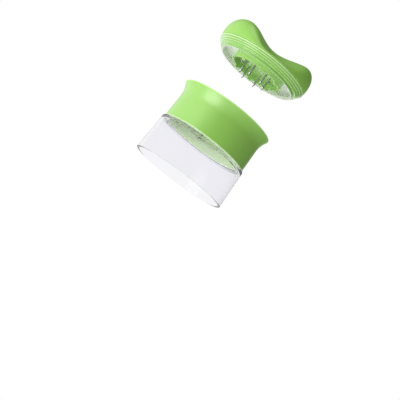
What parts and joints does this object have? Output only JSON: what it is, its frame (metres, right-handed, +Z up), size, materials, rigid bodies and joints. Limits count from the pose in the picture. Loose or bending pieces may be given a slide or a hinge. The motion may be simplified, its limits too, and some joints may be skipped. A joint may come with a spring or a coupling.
{
  "type": "hand held spiral vegetable cutter",
  "caption": "Hand held spiral vegetable cutter: clear cup with a soft collar round a julienne deck, and a saddle shaped food holder that slides down and turns.",
  "frame": {"origin": "middle of the flat foot of the clear cup, at the surface it stands on", "axes": "+Z up along the tool's own axis, from the cup's foot to the grip; +X along the cutting edge and along the long way of the saddle grip"},
  "size_m": [0.093, 0.0926, 0.1486],
  "materials": {
    "clear_plastic": "polished",
    "soft_green": "satin",
    "hard_green": "gloss",
    "core_plastic": "matte",
    "blade_steel": "brushed"
  },
  "bodies": {
    "cutter_body": {"clear_cup": "clear_plastic", "collar_grip": "soft_green", "blade_deck": "hard_green", "feed_guide": "hard_green", "slicing_blade": "blade_steel", "julienne_comb": "blade_steel", "core_tube": "blade_steel", "blade_screw_1": "blade_steel", "blade_screw_2": "blade_steel", "comb_screw_1": "blade_steel", "comb_screw_2": "blade_steel", "deck_screw_1": "blade_steel", "deck_screw_2": "blade_steel", "deck_screw_3": "blade_steel"},
    "guard": {"holder_guard": "clear_plastic"},
    "holder": {"food_hub": "hard_green", "grip_cover": "soft_green", "grip_core": "core_plastic", "food_prong_1": "blade_steel", "food_prong_2": "blade_steel", "food_prong_3": "blade_steel", "food_prong_4": "blade_steel", "food_prong_5": "blade_steel", "food_prong_6": "blade_steel", "hub_screw_1": "blade_steel", "hub_screw_2": "blade_steel", "hub_screw_3": "blade_steel"}
  },
  "joints": [
    {"name": "holder_feed", "type": "slide", "parent": "cutter_body", "child": "guard", "axis": [0, 0, 1], "range_m": [-0.0468, 0.04]},
    {"name": "holder_turn", "type": "hinge", "parent": "guard", "child": "holder", "pos_m": [0, 0, 0.127], "axis": [0, 0, 1], "continuous": true}
  ]
}
